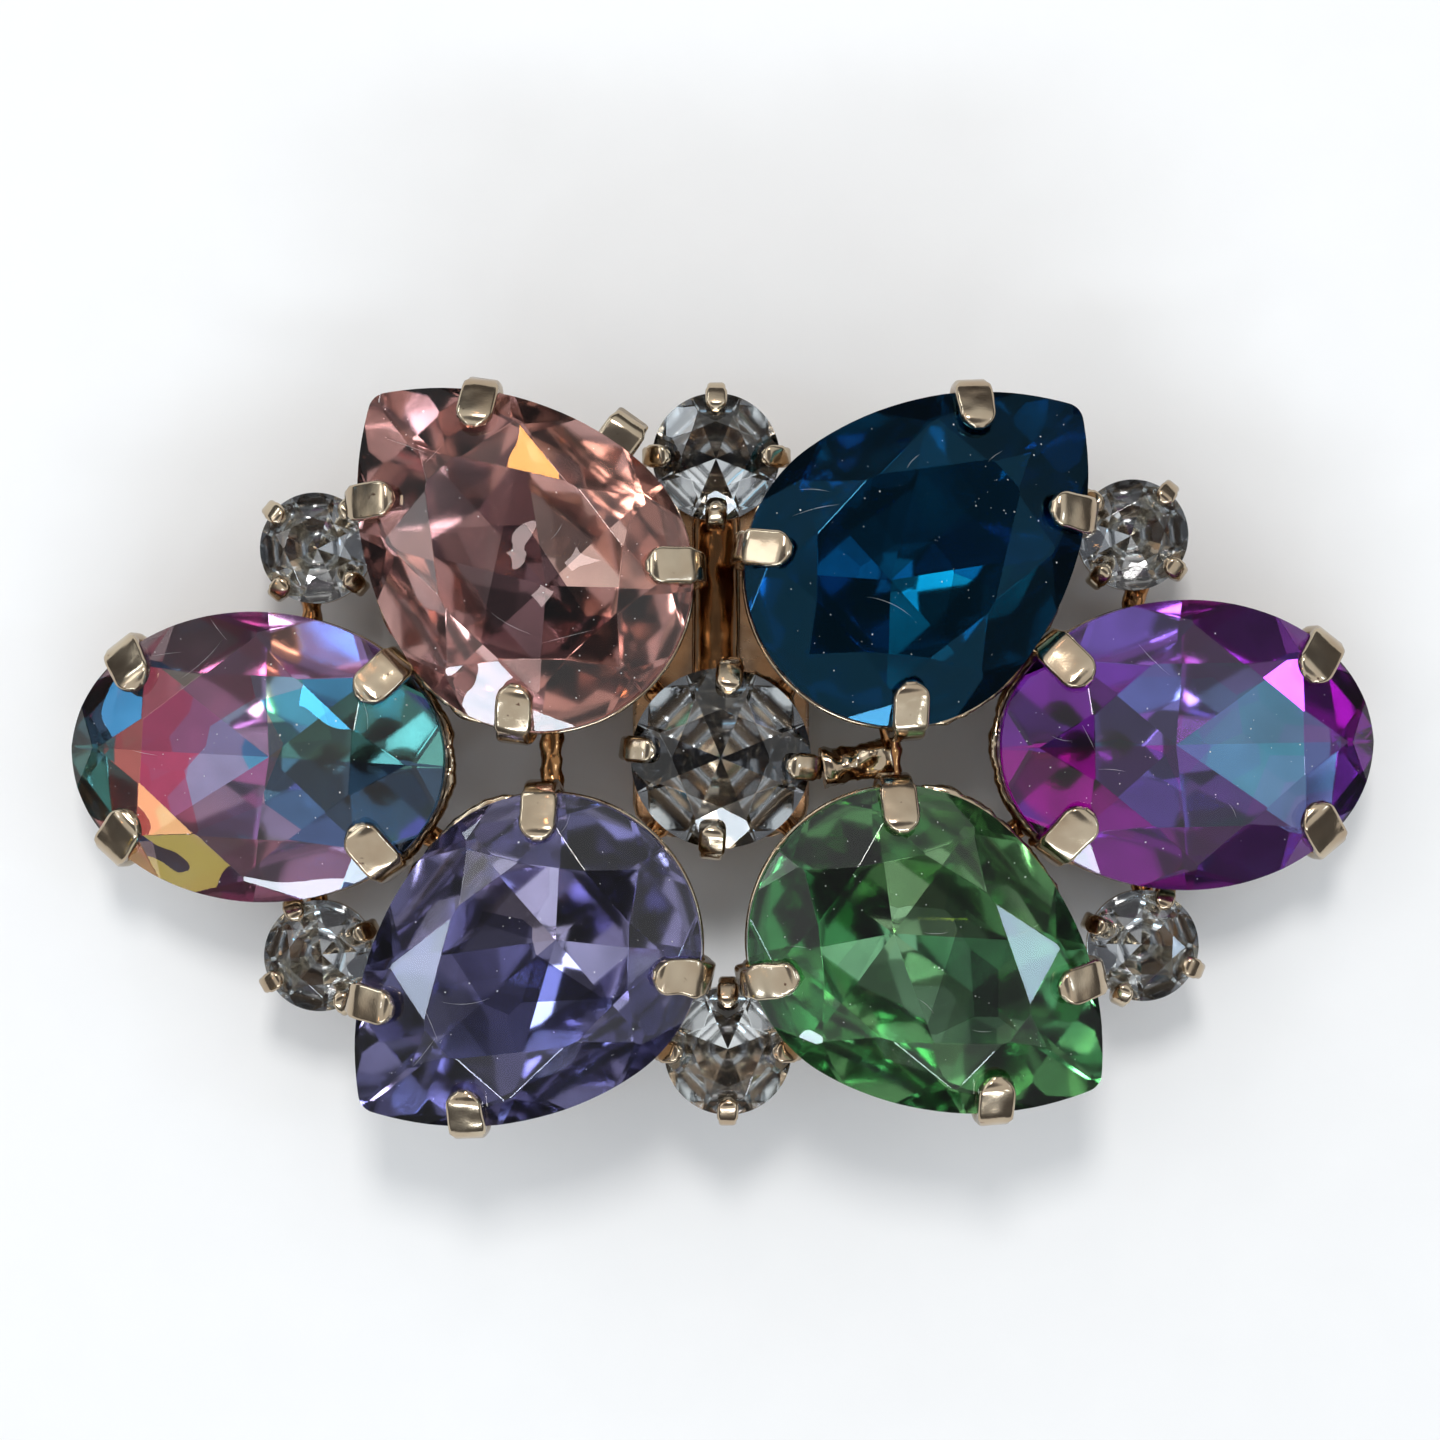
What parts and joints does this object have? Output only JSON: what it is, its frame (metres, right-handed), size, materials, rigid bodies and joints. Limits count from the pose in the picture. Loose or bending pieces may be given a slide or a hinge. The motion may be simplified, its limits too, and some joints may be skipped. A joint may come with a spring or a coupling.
{
  "type": "jewelled shoe clip",
  "caption": "Decorative shoe clip: pear, oval and round faceted glass stones in claw cups soldered into one symmetrical spray, on a folded spring strip that slips over a shoe's edge.",
  "frame": {"origin": "on the underside of the spring clip, straight below the centre stone, where the piece rests", "axes": "+X along the length of the piece, towards the purple oval; +Y across it, towards the top round stone; +Z out of the stones' faces, away from the clip"},
  "size_m": [0.0589, 0.0339, 0.0117],
  "materials": {
    "rose_gold": "pale rose gold plating, polished, with small tarnish spots",
    "clip_plating": "pale rose gold plating, satin",
    "rose_glass": "dusty rose foiled crystal, faceted and polished",
    "teal_glass": "deep teal blue foiled crystal, faceted and polished",
    "violet_glass": "violet blue foiled crystal, faceted, finely scratched",
    "green_glass": "leaf green foiled crystal, faceted and polished",
    "red_coated_glass": "crystal with an iridescent coating that shows crimson, lilac and cyan",
    "purple_coated_glass": "crystal with an iridescent coating that shows purple, teal and grey blue",
    "clear_glass": "clear foiled crystal, faceted and polished"
  },
  "bodies": {
    "root": {"claw_frame": "rose_gold", "shoe_clip": "clip_plating", "rose_pear_stone": "rose_glass", "teal_pear_stone": "teal_glass", "violet_pear_stone": "violet_glass", "green_pear_stone": "green_glass", "red_oval_stone": "red_coated_glass", "purple_oval_stone": "purple_coated_glass", "centre_round_stone": "clear_glass", "top_round_stone": "clear_glass", "bottom_round_stone": "clear_glass", "upper_left_round_stone": "clear_glass", "upper_right_round_stone": "clear_glass", "lower_left_round_stone": "clear_glass", "lower_right_round_stone": "clear_glass"}
  },
  "joints": []
}
